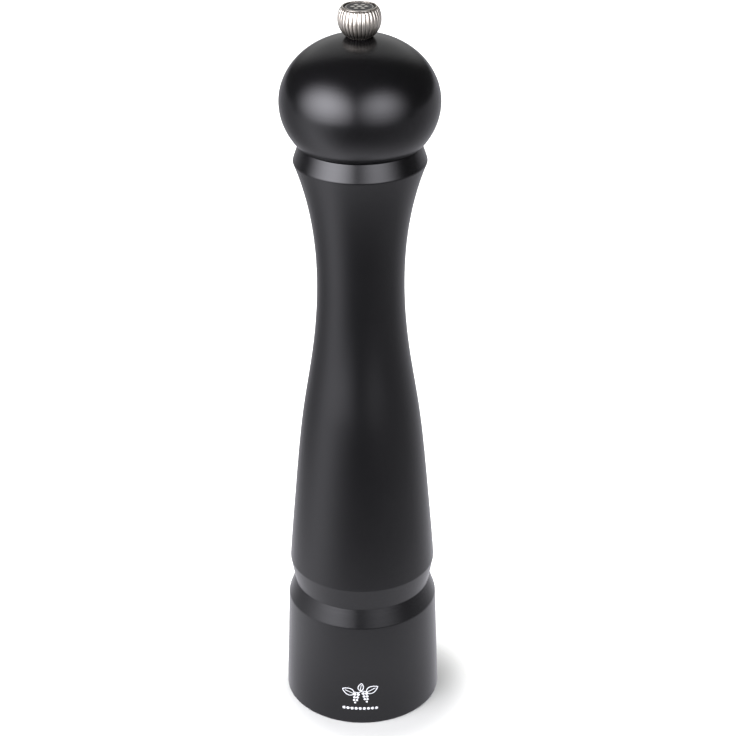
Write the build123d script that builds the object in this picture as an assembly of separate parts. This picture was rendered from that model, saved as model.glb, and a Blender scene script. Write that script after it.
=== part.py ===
from build123d import *
from math import asin, cos, degrees, pi, sin, sqrt
import os

# A tall turned-wood pepper mill. Millimetres, +Z up, origin at the centre of the foot.
# Turning the head spins the square shaft and the inner burr. The knob on top is a nut on
# the shaft's thread: tightening it draws the shaft and the inner burr up, for a finer grind.

# ---- Driving dimensions: the outside -----------------------------------------------------
mill_height = 299.6
foot_radius = 32.4
foot_edge_round = 0.7
base_top_radius = 30.8         # the foot block tapers slightly towards its shoulder
base_top_z = 46.6
shoulder_round = 2.6
groove_radius = 28.1           # bottom of the turned V groove above the foot block
groove_z = 54.4
groove_round = 0.5
belly_radius = 29.9            # widest place of the long body, just above the groove
belly_z = 64.4
belly_round = 1.6
waist_radius = 17.15
waist_z = 190.0
lower_flank = ((27.25, 96.2), (23.1, 135.4), (19.3, 159.8))   # (radius, height) between belly and waist
upper_flank = ((18.3, 210.0), (21.05, 225.4))                 # and between waist and collar
belly_slope = (-0.07, 1)
collar_slope = (0.38, 1)
collar_radius = 25.6           # sharp ridge below the head, before it is rounded over
collar_z = 240.1
collar_round = 1.0
body_rim_radius = 23.3
body_top_z = 247.0

head_radius = 30.4
head_centre_z = 263.3
head_crown = 25.3              # height of the head above its widest place
head_skirt = 26.2              # the same ellipse's half height below that place
head_gap = 0.4                 # open joint between the head and the body
head_edge_round = 0.6
rim_round = 0.5
tenon_round = 0.6

knob_radius = 8.15
knob_bottom_z = 288.2
knob_centre_z = 294.9
knob_flute_count = 30
knob_flute_radius = 0.42
knob_flute_ring = knob_radius + 0.12   # the flutes' centre line, just outside the ball
knob_flute_top_z = 298.95
knob_rim_radius = 6.7
knob_lip_radius = 6.5
knob_lip_chamfer = 0.15
knob_hole_top_z = 298.0

# ---- Driving dimensions: hollows in the wood ---------------------------------------------
hopper_radius = 12.4
hopper_floor_z = 38.0
mouth_radius = 15.0            # socket in the body for the head's tenon
mouth_floor_z = 235.0
seat_radius = 18.1             # bore that takes the burr housing
recess_radius = 24.5           # recess under the foot, round the housing's flange
recess_depth = 8.0

# ---- Driving dimensions: the mechanism ---------------------------------------------------
shaft_width = 5.0              # square steel bar
shaft_end_chamfer = 0.4
shaft_bottom_z = 2.6
shaft_square_bottom_z = 9.4
shaft_square_top_z = 284.0
shaft_top_z = 296.4
stud_radius = 2.0              # round lower end, threaded for the nut
thread_radius = 2.45           # round upper end, threaded for the knob
grind_travel = 1.2             # how far the knob can raise the shaft

housing_radius = 17.6
housing_bore = 16.2
chamber_bore = 15.2
housing_flange_radius = 23.8
sheet = 1.2                    # thickness of the pressed steel pieces
housing_top_z = 35.0
housing_mouth_radius = 12.6
circlip_groove_radius = 16.9
circlip_inner_radius = 14.7
circlip_z = 7.5
circlip_thickness = 1.1
circlip_opening = 5.0
circlip_eye_radius = 1.3
circlip_eye_bore = 0.6

burr_bottom_z = circlip_z + circlip_thickness
burr_top_z = 23.8
burr_tip_radius = 13.6         # of the outer burr's teeth at its bottom
burr_taper = 0.24              # radius lost for each millimetre of height
burr_gap = 0.8                 # between the two burrs at the coarsest setting
outer_tooth_count = 32
outer_tooth_depth = 0.9
outer_tooth_growth = 1.5          # teeth are this much deeper at the top
outer_tooth_twist = 0.35          # radians from the bottom to the top
inner_tooth_count = 28
inner_tooth_depth = 0.75
inner_tooth_twist = 0.2
feed_lobe_depth = 0.6
feed_lobe_swell = 2.2              # the spirals are deepest half way up
feed_lobe_twist = 1.3             # radians
inner_burr_bottom_z = 7.4
inner_burr_step_z = 14.0       # fine teeth below, feed spirals above
inner_burr_top_z = 24.0
inner_burr_top_radius = 6.4
feed_lobe_count = 5

seat_washer_radius = 5.4
seat_washer_thickness = 0.8
spring_wire = 0.9
spring_mean_radius = 4.6
spring_turns = 4.0

bush_radius = 4.6
bush_bore = 3.6
bush_flange_radius = 5.4
bush_flange_thickness = 1.3
bush_top_z = 38.5
bridge_width = 9.6
rivet_radius = 0.8
rivet_head_radius = 1.25
rivet_head_height = 0.6
rivet_pitch_radius = 13.9

screw_ring_radius = 20.9
screw_count = 3
screw_head_radius = 2.4
screw_head_height = 1.8
screw_radius = 1.25
screw_length = 11.0
screw_hole_radius = 1.5
nut_across_flats = 7.0
nut_height = 3.2
nut_chamfer_height = 0.9

tenon_radius = 14.7
tenon_bottom_z = 235.8
head_bore = 4.05
crown_flat_radius = 5.0          # small flat that the knob's foot clears
drive_plate_radius = 11.5
drive_plate_thickness = 1.5
drive_screw_offset = 8.2
drive_screw_head_radius = 2.0
drive_screw_head_height = 1.1
drive_screw_radius = 0.9
drive_screw_length = 9.8
ferrule_radius = 4.15
ferrule_bore = 3.7
ferrule_flange_radius = 4.5       # stays hidden under the knob
ferrule_flange_thickness = 0.8
ferrule_bottom_z = 276.0
glide_inner_radius = 17.0
glide_outer_radius = 20.5
glide_thickness = 1.4

badge_radius = 5.95
badge_floor_z = 298.7
badge_edge_z = 299.15
badge_top_z = 299.5            # slightly crowned, just below the knob's lip

# ---- Clearances ---------------------------------------------------------------------------
loose = 0.1                    # beside a flat of the square shaft
snug = 0.05                    # round a pressed or glued piece
fine = 0.02
knob_thread_clearance = 0.15

bridge_top_z = housing_top_z + sheet
bush_flange_bottom_z = housing_top_z - bush_flange_thickness
upper_seat_bottom_z = bush_flange_bottom_z - seat_washer_thickness
lower_seat_top_z = inner_burr_top_z + seat_washer_thickness
head_bottom_z = body_top_z + head_gap
drive_plate_top_z = tenon_bottom_z + drive_plate_thickness
glide_top_z = body_top_z + glide_thickness


# ---- Helpers ------------------------------------------------------------------------------
def turned(outline):
    """Solid of revolution about Z from a closed outline of (radius, height)."""
    return revolve(Plane.XZ * make_face(outline), Axis.Z)


def turned_steps(*corners):
    """Solid of revolution about Z with straight sides between its corners."""
    return turned(Polyline(*corners, close=True))


def disc(radius, bottom, top):
    return Pos(0, 0, bottom) * extrude(Circle(radius), top - bottom)


def ring(outer, inner, bottom, top):
    return Pos(0, 0, bottom) * extrude(Circle(outer) - Circle(inner), top - bottom)


def square_bar(width, bottom, top):
    return Pos(0, 0, bottom) * extrude(Rectangle(width, width), top - bottom)


def round_over(solid, radius, *spots):
    """Rounds the circular edges of a turned solid that lie at these (radius, height) spots."""
    chosen = []
    for spot_radius, spot_z in spots:
        edges = [e for e in solid.edges() if e.geom_type == GeomType.CIRCLE]

        def distance(edge):
            return abs(edge.radius - spot_radius) + abs(edge.arc_center.Z - spot_z)

        nearest = min(edges, key=distance)
        chosen += [e for e in edges if distance(e) < distance(nearest) + 0.01]
    return fillet(chosen, radius)


def around(count, radius, shape, start=0.0):
    """The same shape at evenly spaced places on a circle about Z."""
    return [Rot(0, 0, start + 360 / count * k) * Pos(radius, 0, 0) * shape for k in range(count)]


def pan_screw(head_radius, head_height, shank_radius, length):
    """Pan-head screw pointing up, with its head's underside at Z 0 and a cross recess."""
    head = round_over(disc(head_radius, -head_height, 0), head_height * 0.45,
                      (head_radius, -head_height))
    shank = disc(shank_radius, 0, length - 1.5 * shank_radius)
    tip = Pos(0, 0, length - 0.75 * shank_radius) * Cone(shank_radius, 0.2, 1.5 * shank_radius)
    slot = Box(head_radius * 1.1, head_radius * 0.28, head_height)
    cross = Pos(0, 0, -head_height) * (slot + Rot(0, 0, 90) * slot)
    return head + shank + tip - cross


def toothed(count, tip, depth, turn):
    """Star of straight-sided teeth between two radii. A negative depth makes its teeth point in."""
    step = 2 * pi / count
    corners = []
    for k in range(count):
        angle = k * step + turn
        corners.append((tip * cos(angle), tip * sin(angle)))
        inner = tip - depth
        middle = angle + step / 2
        corners.append((inner * cos(middle), inner * sin(middle)))
    return make_face(Polyline(*corners, close=True))


def lobed(count, tip, depth, turn):
    """Rounded star for the feed spirals: each lobe has a steep face and a long ramp."""
    shares = ((0.0, 1.0), (0.12, 0.15), (0.3, 0.0), (0.55, 0.35), (0.8, 0.8))  # way along, height
    corners = []
    for k in range(count):
        for along, height in shares:
            angle = (k + along) * 2 * pi / count + turn
            radius = tip - depth * (1 - height)
            corners.append((radius * cos(angle), radius * sin(angle)))
    return make_face(Polyline(*corners, close=True))


# ---- The wooden body and what is fixed in it ----------------------------------------------
def wooden_body():
    taper = (foot_radius - base_top_radius) / base_top_z
    outline = Polyline((0, 0), (foot_radius, 0), (base_top_radius, base_top_z),
                       (groove_radius, groove_z), (belly_radius, belly_z))
    flank = Spline((belly_radius, belly_z), *lower_flank, (waist_radius, waist_z), *upper_flank,
                   (collar_radius, collar_z), tangents=[belly_slope, collar_slope])
    top = Polyline((collar_radius, collar_z), (body_rim_radius, body_top_z), (0, body_top_z), (0, 0))
    body = turned(outline + flank + top)
    body = round_over(body, collar_round, (collar_radius, collar_z))
    body = round_over(body, belly_round, (belly_radius, belly_z))
    body = round_over(body, groove_round, (groove_radius, groove_z))
    body = round_over(body, shoulder_round, (base_top_radius, base_top_z))
    body = round_over(body, foot_edge_round, (foot_radius, 0))
    body = round_over(body, rim_round, (body_rim_radius, body_top_z))
    body -= disc(recess_radius, 0, recess_depth)
    body -= disc(seat_radius, recess_depth, hopper_floor_z)
    body -= disc(hopper_radius, hopper_floor_z, mouth_floor_z)
    body -= disc(mouth_radius, mouth_floor_z, body_top_z)
    pilot = disc(screw_radius + snug, recess_depth, recess_depth + screw_length)
    for hole in around(screw_count, screw_ring_radius, pilot):
        body -= hole
    return body


def rivet_holes():
    hole = disc(rivet_radius + fine, housing_top_z - sheet, bridge_top_z)
    return around(2, rivet_pitch_radius, hole, start=90)


def burr_housing():
    """Pressed steel cup: a flange under the foot, a bore for the burr, a narrower chamber above."""
    flange_bottom = recess_depth - sheet
    housing = turned_steps(
        (housing_bore, flange_bottom), (housing_flange_radius, flange_bottom),
        (housing_flange_radius, recess_depth), (housing_radius, recess_depth),
        (housing_radius, housing_top_z), (housing_mouth_radius, housing_top_z),
        (housing_mouth_radius, housing_top_z - sheet), (chamber_bore, housing_top_z - sheet),
        (chamber_bore, burr_top_z), (housing_bore, burr_top_z),
        (housing_bore, circlip_z + circlip_thickness + snug),
        (circlip_groove_radius, circlip_z + circlip_thickness + snug),
        (circlip_groove_radius, circlip_z - snug), (housing_bore, circlip_z - snug))
    screw_hole = disc(screw_hole_radius, 0, recess_depth + sheet)
    for hole in around(screw_count, screw_ring_radius, screw_hole):
        housing -= hole
    for hole in rivet_holes():
        housing -= hole
    return housing


def outer_burr():
    """Hardened ring with slanting teeth inside, wider at the bottom."""
    height = burr_top_z - burr_bottom_z
    top_tip = burr_tip_radius - burr_taper * height
    low = Pos(0, 0, burr_bottom_z) * toothed(outer_tooth_count, burr_tip_radius, -outer_tooth_depth, 0)
    top_depth = outer_tooth_depth * outer_tooth_growth
    high = Pos(0, 0, burr_top_z) * toothed(outer_tooth_count, top_tip, -top_depth, outer_tooth_twist)
    return disc(housing_bore - fine, burr_bottom_z, burr_top_z) - loft([low, high], ruled=True)


def burr_retaining_ring():
    """Internal snap ring under the outer burr, with a gap and an eye at each end."""
    band = ring(circlip_groove_radius - snug, circlip_inner_radius, circlip_z, burr_bottom_z)
    gap = Box(circlip_opening, circlip_opening, circlip_opening)
    band -= Pos(0, -circlip_inner_radius, circlip_z) * gap
    for side in (-1, 1):
        eye = Pos(side * (circlip_opening / 2 + circlip_eye_radius), -circlip_inner_radius, circlip_z)
        band += eye * extrude(Circle(circlip_eye_radius), circlip_thickness)
        band -= eye * extrude(Circle(circlip_eye_bore), circlip_thickness)
    return band


def bridge_plate():
    """Steel strip across the top of the housing that carries the shaft's bush."""
    strip = Pos(0, 0, housing_top_z) * extrude(
        Rectangle(bridge_width, 2 * housing_radius) & Circle(housing_radius), sheet)
    strip -= disc(bush_radius + fine, housing_top_z, bridge_top_z)
    for hole in rivet_holes():
        strip -= hole
    return strip


def bridge_rivets():
    low = housing_top_z - sheet
    shank = disc(rivet_radius, low, bridge_top_z)
    cap = extrude(Circle(rivet_head_radius), rivet_head_height, taper=30)
    rivet = shank + Pos(0, 0, bridge_top_z) * cap + Pos(0, 0, low) * Rot(180, 0, 0) * cap
    return Compound(children=around(2, rivet_pitch_radius, rivet, start=90))


def shaft_bush():
    """Flanged brass bush in the bridge. The square shaft turns on its corners inside it."""
    return turned_steps(
        (bush_bore, bush_flange_bottom_z), (bush_flange_radius, bush_flange_bottom_z),
        (bush_flange_radius, housing_top_z), (bush_radius, housing_top_z),
        (bush_radius, bush_top_z), (bush_bore, bush_top_z))


def housing_screws():
    screw = pan_screw(screw_head_radius, screw_head_height, screw_radius, screw_length)
    screw = Pos(0, 0, recess_depth - sheet) * screw
    return Compound(children=around(screw_count, screw_ring_radius, screw))


# ---- What turns with the shaft but stays at its height ------------------------------------
def upper_spring_seat():
    """Washer with a square hole, held against the bush by the spring."""
    washer = disc(seat_washer_radius, upper_seat_bottom_z, bush_flange_bottom_z)
    return washer - square_bar(shaft_width + 2 * loose, upper_seat_bottom_z, bush_flange_bottom_z)


def burr_spring():
    """Compression spring that pushes the inner burr down, ground flat at both ends."""
    low = lower_seat_top_z + fine
    high = upper_seat_bottom_z - fine
    centre_low = low + spring_wire * 0.35
    rise = high - low - spring_wire * 0.7
    path = Pos(0, 0, centre_low) * Helix(rise / spring_turns, rise, spring_mean_radius)
    section = Plane(origin=path @ 0, z_dir=path % 0) * Circle(spring_wire / 2)
    coil = sweep(section, path=path, is_frenet=True)
    return coil & disc(spring_mean_radius + spring_wire, low, high)


# ---- The shaft and what rises with it ------------------------------------------------------
def drive_shaft():
    shaft = square_bar(shaft_width, shaft_square_bottom_z, shaft_square_top_z)
    stud = disc(stud_radius, shaft_bottom_z, shaft_square_bottom_z)
    thread = disc(thread_radius, shaft_square_top_z, shaft_top_z)
    stud = chamfer(stud.edges().group_by(Axis.Z)[0], shaft_end_chamfer)
    thread = chamfer(thread.edges().group_by(Axis.Z)[-1], shaft_end_chamfer)
    return shaft + stud + thread


def inner_burr():
    """Hardened cone: fine slanting teeth round the bottom, five feed spirals above them."""
    tip_at_bottom = burr_tip_radius - burr_gap + burr_taper * (burr_bottom_z - inner_burr_bottom_z)
    tip_at_step = tip_at_bottom - burr_taper * (inner_burr_step_z - inner_burr_bottom_z)
    low = toothed(inner_tooth_count, tip_at_bottom, inner_tooth_depth, 0)
    low = Pos(0, 0, inner_burr_bottom_z) * low
    high = toothed(inner_tooth_count, tip_at_step, inner_tooth_depth, -inner_tooth_twist)
    high = Pos(0, 0, inner_burr_step_z) * high
    burr = loft([low, high], ruled=True)
    stages = 4
    sections = []
    for k in range(stages + 1):
        share = k / stages
        tip = tip_at_step + (inner_burr_top_radius - tip_at_step) * share
        z = inner_burr_step_z + (inner_burr_top_z - inner_burr_step_z) * share
        depth = feed_lobe_depth + feed_lobe_swell * share * (1 - share)
        section = lobed(feed_lobe_count, tip - loose, depth, -feed_lobe_twist * share)
        sections.append(Pos(0, 0, z) * section)
    burr += loft(sections, ruled=True)
    burr -= square_bar(shaft_width + 2 * fine, shaft_square_bottom_z, inner_burr_top_z)
    return burr - disc(stud_radius + fine, inner_burr_bottom_z, shaft_square_bottom_z)


def lower_spring_seat():
    washer = disc(seat_washer_radius, inner_burr_top_z, lower_seat_top_z)
    return washer - square_bar(shaft_width + 2 * fine, inner_burr_top_z, lower_seat_top_z)


def burr_washer():
    low = inner_burr_bottom_z - seat_washer_thickness
    return ring(seat_washer_radius, stud_radius + fine, low, inner_burr_bottom_z)


def burr_nut():
    top = inner_burr_bottom_z - seat_washer_thickness
    hexagon = RegularPolygon(nut_across_flats / 2, 6, major_radius=False) - Circle(stud_radius + fine)
    nut = Pos(0, 0, top - nut_height) * extrude(hexagon, nut_height)
    corner = nut_across_flats / sqrt(3)
    bottom = top - nut_height
    cone = turned_steps((0, bottom), (nut_across_flats / 2 - loose, bottom),
                        (corner + loose, bottom + nut_chamfer_height), (corner + loose, top), (0, top))
    return nut & cone


# ---- The wooden head and what is fixed in it -----------------------------------------------
def wooden_head():
    drop = head_centre_z - head_bottom_z
    bottom_radius = head_radius * sqrt(1 - (drop / head_skirt) ** 2)
    crown_z = head_centre_z + head_crown
    cut = degrees(asin(drop / head_skirt))
    centre = (0, head_centre_z)
    skirt = EllipticalCenterArc(centre, head_radius, head_skirt, start_angle=-cut, arc_size=cut)
    crown = EllipticalCenterArc(centre, head_radius, head_crown, start_angle=0, arc_size=90)
    joint = skirt @ 0
    under = Polyline((joint.X, joint.Y), (tenon_radius, joint.Y), (tenon_radius, tenon_bottom_z),
                     (0, tenon_bottom_z), (0, crown_z))
    head = turned(under + skirt + crown)
    head = round_over(head, head_edge_round, (bottom_radius, head_bottom_z))
    head = round_over(head, tenon_round, (tenon_radius, tenon_bottom_z))
    flange_bottom = knob_bottom_z - ferrule_flange_thickness
    head -= disc(head_bore, tenon_bottom_z, crown_z)
    head -= disc(ferrule_radius + fine, ferrule_bottom_z, crown_z)
    head -= disc(ferrule_flange_radius + snug, flange_bottom, crown_z)
    head -= disc(crown_flat_radius, knob_bottom_z - snug, crown_z)
    head -= disc(drive_plate_radius + snug, tenon_bottom_z, drive_plate_top_z)
    head -= ring(glide_outer_radius + snug, glide_inner_radius - snug, head_bottom_z - 1, glide_top_z)
    pilot = disc(drive_screw_radius + snug, drive_plate_top_z, tenon_bottom_z + drive_screw_length)
    for hole in around(2, drive_screw_offset, pilot):
        head -= hole
    return head


def head_ferrule():
    """Steel ferrule in the crown: the seat that the knob turns on."""
    flange_bottom = knob_bottom_z - ferrule_flange_thickness
    return turned_steps(
        (ferrule_bore, ferrule_bottom_z), (ferrule_radius, ferrule_bottom_z),
        (ferrule_radius, flange_bottom), (ferrule_flange_radius, flange_bottom),
        (ferrule_flange_radius, knob_bottom_z), (ferrule_bore, knob_bottom_z))


def drive_plate():
    """Steel plate under the head whose square hole turns the shaft."""
    plate = disc(drive_plate_radius, tenon_bottom_z, drive_plate_top_z)
    plate -= square_bar(shaft_width + 3 * loose, tenon_bottom_z, drive_plate_top_z)
    clearance = disc(drive_screw_radius + snug, tenon_bottom_z, drive_plate_top_z)
    for hole in around(2, drive_screw_offset, clearance):
        plate -= hole
    return plate


def drive_plate_screws():
    screw = pan_screw(drive_screw_head_radius, drive_screw_head_height,
                      drive_screw_radius, drive_screw_length)
    return Compound(children=around(2, drive_screw_offset, Pos(0, 0, tenon_bottom_z) * screw))


def glide_ring():
    """Nylon ring in the head's underside that slides on the body's rim."""
    return ring(glide_outer_radius, glide_inner_radius, body_top_z, glide_top_z)


# ---- The knob --------------------------------------------------------------------------------
def grind_knob():
    """Fluted ball with a smooth rim, a cup for its badge and a threaded blind hole."""
    ball = Pos(0, 0, knob_centre_z) * Sphere(knob_radius)
    ball &= disc(knob_radius, knob_bottom_z, knob_flute_top_z)
    # A ring standing upright round the ball cuts two opposite flutes at once.
    cutter = Pos(0, 0, knob_centre_z) * Rot(90, 0, 0) * Torus(knob_flute_ring, knob_flute_radius)
    for k in range(knob_flute_count // 2):
        ball -= Rot(0, 0, 360 / knob_flute_count * k) * cutter
    rim = turned_steps((badge_radius + snug, knob_flute_top_z), (knob_rim_radius, knob_flute_top_z),
                       (knob_rim_radius, mill_height - knob_lip_chamfer), (knob_lip_radius, mill_height),
                       (badge_radius + snug, mill_height))
    knob = ball - disc(badge_radius + snug, badge_floor_z, mill_height) + rim
    return knob - disc(thread_radius + knob_thread_clearance, knob_bottom_z, knob_hole_top_z)


def knob_badge():
    """Plain dark disc with a slightly crowned top, pressed into the knob's cup."""
    crown = badge_top_z - badge_edge_z
    dome_radius = (badge_radius ** 2 + crown ** 2) / (2 * crown)
    dome = Pos(0, 0, badge_top_z - dome_radius) * Sphere(dome_radius)
    return disc(badge_radius, badge_floor_z, badge_top_z) & dome


nodes = (
    wooden_body, burr_housing, outer_burr, burr_retaining_ring, bridge_plate, bridge_rivets,
    shaft_bush, housing_screws,
    upper_spring_seat, burr_spring,
    drive_shaft, inner_burr, lower_spring_seat, burr_washer, burr_nut,
    wooden_head, head_ferrule, drive_plate, drive_plate_screws, glide_ring,
    grind_knob, knob_badge,
)

os.makedirs("parts", exist_ok=True)
for node in nodes:
    export_step(node(), f"parts/{node.__name__}.step")
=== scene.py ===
import math
import bmesh
import bpy
import numpy as np
from mathutils import Matrix, Vector


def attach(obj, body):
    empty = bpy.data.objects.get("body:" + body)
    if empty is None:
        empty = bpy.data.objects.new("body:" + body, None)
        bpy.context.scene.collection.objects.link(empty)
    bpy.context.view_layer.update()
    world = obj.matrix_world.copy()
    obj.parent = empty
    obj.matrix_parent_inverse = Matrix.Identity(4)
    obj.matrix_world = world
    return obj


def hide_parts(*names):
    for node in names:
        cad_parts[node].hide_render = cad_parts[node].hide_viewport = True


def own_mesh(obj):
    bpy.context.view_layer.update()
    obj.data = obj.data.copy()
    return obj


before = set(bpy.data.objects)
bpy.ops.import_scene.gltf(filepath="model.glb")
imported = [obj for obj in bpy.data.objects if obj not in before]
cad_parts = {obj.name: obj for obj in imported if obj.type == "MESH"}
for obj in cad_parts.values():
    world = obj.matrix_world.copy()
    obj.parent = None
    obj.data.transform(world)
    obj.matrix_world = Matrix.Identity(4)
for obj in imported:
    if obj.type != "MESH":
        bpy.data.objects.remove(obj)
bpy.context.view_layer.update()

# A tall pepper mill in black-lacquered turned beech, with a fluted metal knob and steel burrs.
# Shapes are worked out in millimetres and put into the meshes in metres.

mm = 0.001
scene = bpy.context.scene


def linearColour(hexCode):  # sRGB hex to the linear colour that a shader takes
    srgb = np.array([int(hexCode[i:i + 2], 16) for i in (1, 3, 5)]) / 255
    linear = np.where(srgb <= 0.04045, srgb / 12.92, ((srgb + 0.055) / 1.055) ** 2.4)
    return (*linear.tolist(), 1.0)


def addNode(tree, kind, inputs=None, **settings):  # inputs are plain values, or sockets to link from
    node = tree.nodes.new("ShaderNode" + kind)
    for name, value in settings.items():
        setattr(node, name, value)
    for name, value in (inputs or {}).items():
        if isinstance(value, bpy.types.NodeSocket):
            tree.links.new(value, node.inputs[name])
        else:
            node.inputs[name].default_value = value
    return node


def newMaterial(name):
    material = bpy.data.materials.new(name)
    material.use_nodes = True
    material.node_tree.nodes.clear()
    return material, material.node_tree


def roundedOutline(corners, radii, arcSteps=6, support=0.12):
    # Each corner becomes a circular arc that touches both of its sides at radius / tan(half its angle).
    # One more point just before and after the arc keeps smooth shading off the flats.
    corners = np.asarray(corners, float)
    radii = np.asarray(radii, float)[:, None]
    back = np.roll(corners, 1, 0) - corners
    ahead = np.roll(corners, -1, 0) - corners
    back /= np.linalg.norm(back, axis=1, keepdims=True)
    ahead /= np.linalg.norm(ahead, axis=1, keepdims=True)
    half = np.arccos(np.clip((back * ahead).sum(1, keepdims=True), -1, 1)) / 2
    reach = radii / np.tan(np.maximum(half, 0.01))
    bisector = back + ahead
    bisector /= np.maximum(np.linalg.norm(bisector, axis=1, keepdims=True), 1e-9)
    centre = corners + bisector * radii / np.sin(np.maximum(half, 0.01))
    first = (corners + back * reach - centre)[:, None]
    last = (corners + ahead * reach - centre)[:, None]
    sweep = (np.pi - 2 * half)[:, None]
    t = np.linspace(0, 1, arcSteps + 1)[None, :, None]
    arcs = centre[:, None] + (np.sin((1 - t) * sweep) * first + np.sin(t * sweep) * last) / np.maximum(
        np.sin(sweep), 1e-9)
    outer = reach + support * (radii > 0)
    before, after = corners + back * outer, corners + ahead * outer
    points = np.concatenate([before[:, None], arcs, after[:, None]], 1)
    source = np.repeat(np.arange(len(corners)), points.shape[1])
    points = points.reshape(-1, 2)
    step = np.linalg.norm(np.diff(points, axis=0, prepend=points[-1:]), axis=1)
    return points[step > 1e-4], source[step > 1e-4]


def smoothCurve(at, knots, values, startSlope, endSlope):
    # Cubic spline through the knots with given end slopes: its curvature has no jumps at a knot.
    knots, values = np.asarray(knots, float), np.asarray(values, float)
    width, rise = np.diff(knots), np.diff(values)
    system = np.diag(np.concatenate([[1], 2 / width[:-1] + 2 / width[1:], [1]]))
    inner = np.arange(1, len(knots) - 1)
    system[inner, inner - 1] = 1 / width[:-1]
    system[inner, inner + 1] = 1 / width[1:]
    middle = 3 * (rise[:-1] / width[:-1] ** 2 + rise[1:] / width[1:] ** 2)
    slope = np.linalg.solve(system, np.concatenate([[startSlope], middle, [endSlope]]))
    i = np.clip(np.searchsorted(knots, at, side="right") - 1, 0, len(width) - 1)
    t = (at - knots[i]) / width[i]
    return (values[i] * (1 + 2 * t) * (1 - t) ** 2 + values[i + 1] * t ** 2 * (3 - 2 * t)
            + width[i] * (slope[i] * t * (1 - t) ** 2 - slope[i + 1] * t ** 2 * (1 - t)))


def turnedSurface(outline, segments):
    # The outline carried round the axis: x = radius cos a, y = radius sin a, z = height.
    angle = np.linspace(0, 2 * np.pi, segments, endpoint=False)
    radius, height = outline[:, :1], outline[:, 1:]
    return np.stack([radius * np.cos(angle), radius * np.sin(angle), height + 0 * angle], -1)


def gridMesh(name, grids, loopAlong=True, loopRound=True, marks=None):
    # Each grid is points[along, round]. Neighbours join as quads, and a row at one point is a pole.
    vertices, faces, start = [], [], 0
    for points in grids:
        rows, columns = points.shape[:2]
        index = start + np.arange(rows * columns).reshape(rows, columns)
        right, up = np.roll(index, -1, 1), np.roll(index, -1, 0)
        quads = np.stack([index, right, np.roll(right, -1, 0), up], -1)
        quads = quads[:rows if loopAlong else -1, :columns if loopRound else -1].reshape(-1, 4)
        flat = points.reshape(-1, 3)
        a, b, c, d = (flat[quads[:, k] - start] for k in range(4))
        if loopAlong or loopRound:  # faces point outwards when the volume that they enclose is positive
            volume = (np.cross(c - a, d - b) * (a + b + c + d)).sum()
            quads = quads if volume > 0 else quads[:, ::-1]
        vertices.append(flat)
        faces.append(quads)
        start += rows * columns
    mesh = bpy.data.meshes.new(name)
    mesh.from_pydata((np.concatenate(vertices) * mm).tolist(), [], np.concatenate(faces).tolist())
    for mark, values in (marks or {}).items():
        layer = mesh.attributes.new(mark, "FLOAT", "POINT")
        layer.data.foreach_set("value", np.asarray(values, np.float32).ravel())
    bm = bmesh.new()
    bm.from_mesh(mesh)
    bmesh.ops.remove_doubles(bm, verts=bm.verts, dist=1e-7)
    bm.to_mesh(mesh)
    bm.free()
    mesh.shade_smooth()
    return mesh


def addPiece(mesh, body, slot, material, *nodes):  # the mesh as a piece that stands for CAD nodes
    piece = bpy.data.objects.new(mesh.name, mesh)
    scene.collection.objects.link(piece)
    mesh.materials.append(material)
    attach(piece, body)
    if nodes:
        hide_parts(*nodes)
    return piece


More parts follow.
